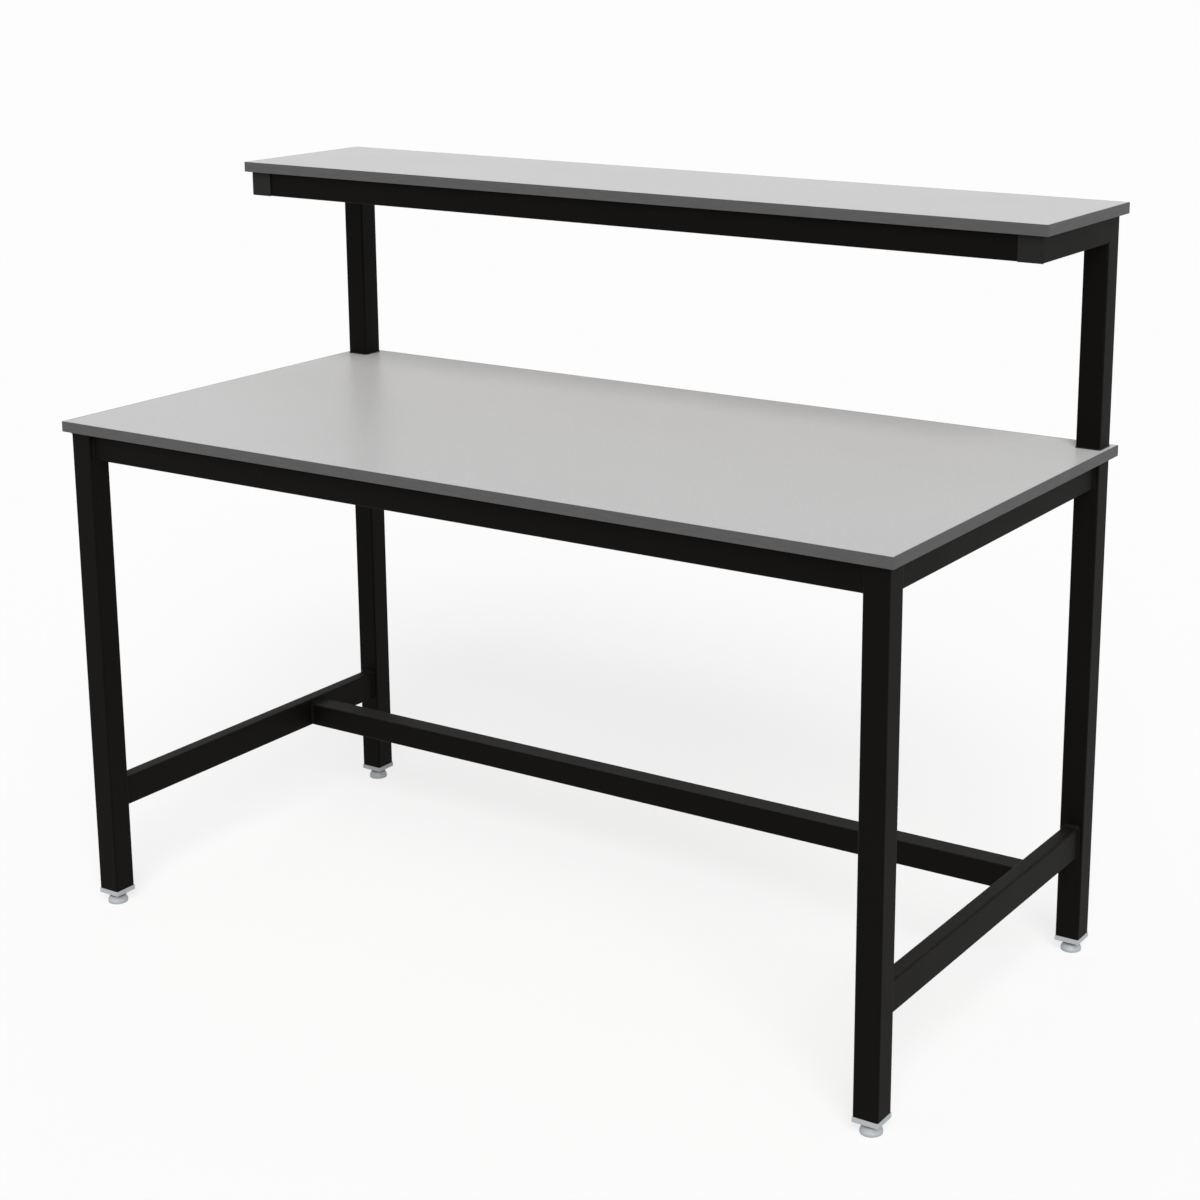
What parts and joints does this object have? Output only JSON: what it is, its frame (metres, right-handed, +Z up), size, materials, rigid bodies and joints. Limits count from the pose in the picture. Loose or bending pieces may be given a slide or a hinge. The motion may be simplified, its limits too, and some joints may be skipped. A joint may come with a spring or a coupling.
{
  "type": "anti-static workbench",
  "caption": "Anti-static laboratory workbench: grey laminate worktop and raised rear shelf with dark edges on a black welded tube frame with levelling feet.",
  "frame": {"origin": "on the floor, under the middle of the worktop", "axes": "+X to the right along the front edge, +Y to the back where the shelf stands, +Z up"},
  "size_m": [1.5, 0.752, 1.209],
  "materials": {
    "laminate": "light grey dissipative laminate, satin",
    "edge_band": "dark grey plastic edge band, satin",
    "board": "raw chipboard",
    "frame": "black powder coat, satin with a fine texture",
    "dark_plastic": "moulded dark plastic",
    "light_plastic": "moulded light grey plastic",
    "zinc": "bright zinc plate",
    "brass": "plain brass"
  },
  "bodies": {
    "frame": {"arm_cap_left": "dark_plastic", "arm_cap_right": "dark_plastic", "corner_plate_front_left": "frame", "corner_plate_front_right": "frame", "corner_plate_rear_left": "frame", "corner_plate_rear_right": "frame", "earth_stud": "brass", "end_rail_left": "frame", "end_rail_right": "frame", "leg_front_left": "frame", "leg_front_right": "frame", "leg_insert_front_left": "light_plastic", "leg_insert_front_right": "light_plastic", "leg_insert_rear_left": "light_plastic", "leg_insert_rear_right": "light_plastic", "leg_rear_left": "frame", "leg_rear_right": "frame", "shelf_arm_left": "frame", "shelf_arm_right": "frame", "shelf_core": "board", "shelf_edge_front": "edge_band", "shelf_edge_left": "edge_band", "shelf_edge_rear": "edge_band", "shelf_edge_right": "edge_band", "shelf_laminate": "laminate", "shelf_rail_front": "frame", "shelf_rail_rear": "frame", "shelf_screw_front_left": "zinc", "shelf_screw_front_right": "zinc", "shelf_screw_rear_left": "zinc", "shelf_screw_rear_right": "zinc", "spigot_screw_left": "zinc", "spigot_screw_right": "zinc", "stretcher": "frame", "top_rail_front": "frame", "top_rail_left": "frame", "top_rail_rear": "frame", "top_rail_right": "frame", "upright_left": "frame", "upright_right": "frame", "upright_spigot_left": "zinc", "upright_spigot_right": "zinc", "worktop_core": "board", "worktop_edge_front": "edge_band", "worktop_edge_left": "edge_band", "worktop_edge_rear": "edge_band", "worktop_edge_right": "edge_band", "worktop_laminate": "laminate", "worktop_screw_front_left": "zinc", "worktop_screw_front_right": "zinc", "worktop_screw_rear_left": "zinc", "worktop_screw_rear_right": "zinc"},
    "pad_front_left": {"foot_pad_front_left": "light_plastic"},
    "stud_front_left": {"foot_stud_front_left": "zinc"},
    "pad_front_right": {"foot_pad_front_right": "light_plastic"},
    "stud_front_right": {"foot_stud_front_right": "zinc"},
    "pad_rear_left": {"foot_pad_rear_left": "light_plastic"},
    "stud_rear_left": {"foot_stud_rear_left": "zinc"},
    "pad_rear_right": {"foot_pad_rear_right": "light_plastic"},
    "stud_rear_right": {"foot_stud_rear_right": "zinc"}
  },
  "joints": [
    {"name": "foot_slide_front_left", "type": "slide", "parent": "frame", "child": "pad_front_left", "axis": [0, 0, -1], "range_m": [-0.003, 0.021]},
    {"name": "stud_turn_front_left", "type": "hinge", "parent": "pad_front_left", "child": "stud_front_left", "pos_m": [-0.72, -0.345, 0], "axis": [0, 0, -1], "range_deg": [-720, 5040]},
    {"name": "foot_slide_front_right", "type": "slide", "parent": "frame", "child": "pad_front_right", "axis": [0, 0, -1], "range_m": [-0.003, 0.021]},
    {"name": "stud_turn_front_right", "type": "hinge", "parent": "pad_front_right", "child": "stud_front_right", "pos_m": [0.72, -0.345, 0], "axis": [0, 0, -1], "range_deg": [-720, 5040]},
    {"name": "foot_slide_rear_left", "type": "slide", "parent": "frame", "child": "pad_rear_left", "axis": [0, 0, -1], "range_m": [-0.003, 0.021]},
    {"name": "stud_turn_rear_left", "type": "hinge", "parent": "pad_rear_left", "child": "stud_rear_left", "pos_m": [-0.72, 0.345, 0], "axis": [0, 0, -1], "range_deg": [-720, 5040]},
    {"name": "foot_slide_rear_right", "type": "slide", "parent": "frame", "child": "pad_rear_right", "axis": [0, 0, -1], "range_m": [-0.003, 0.021]},
    {"name": "stud_turn_rear_right", "type": "hinge", "parent": "pad_rear_right", "child": "stud_rear_right", "pos_m": [0.72, 0.345, 0], "axis": [0, 0, -1], "range_deg": [-720, 5040]}
  ],
  "couplings": [
    {"joint": "stud_turn_front_left", "follows": "foot_slide_front_left", "rad_per_m": 4188.8},
    {"joint": "stud_turn_front_right", "follows": "foot_slide_front_right", "rad_per_m": 4188.8},
    {"joint": "stud_turn_rear_left", "follows": "foot_slide_rear_left", "rad_per_m": 4188.8},
    {"joint": "stud_turn_rear_right", "follows": "foot_slide_rear_right", "rad_per_m": 4188.8}
  ]
}
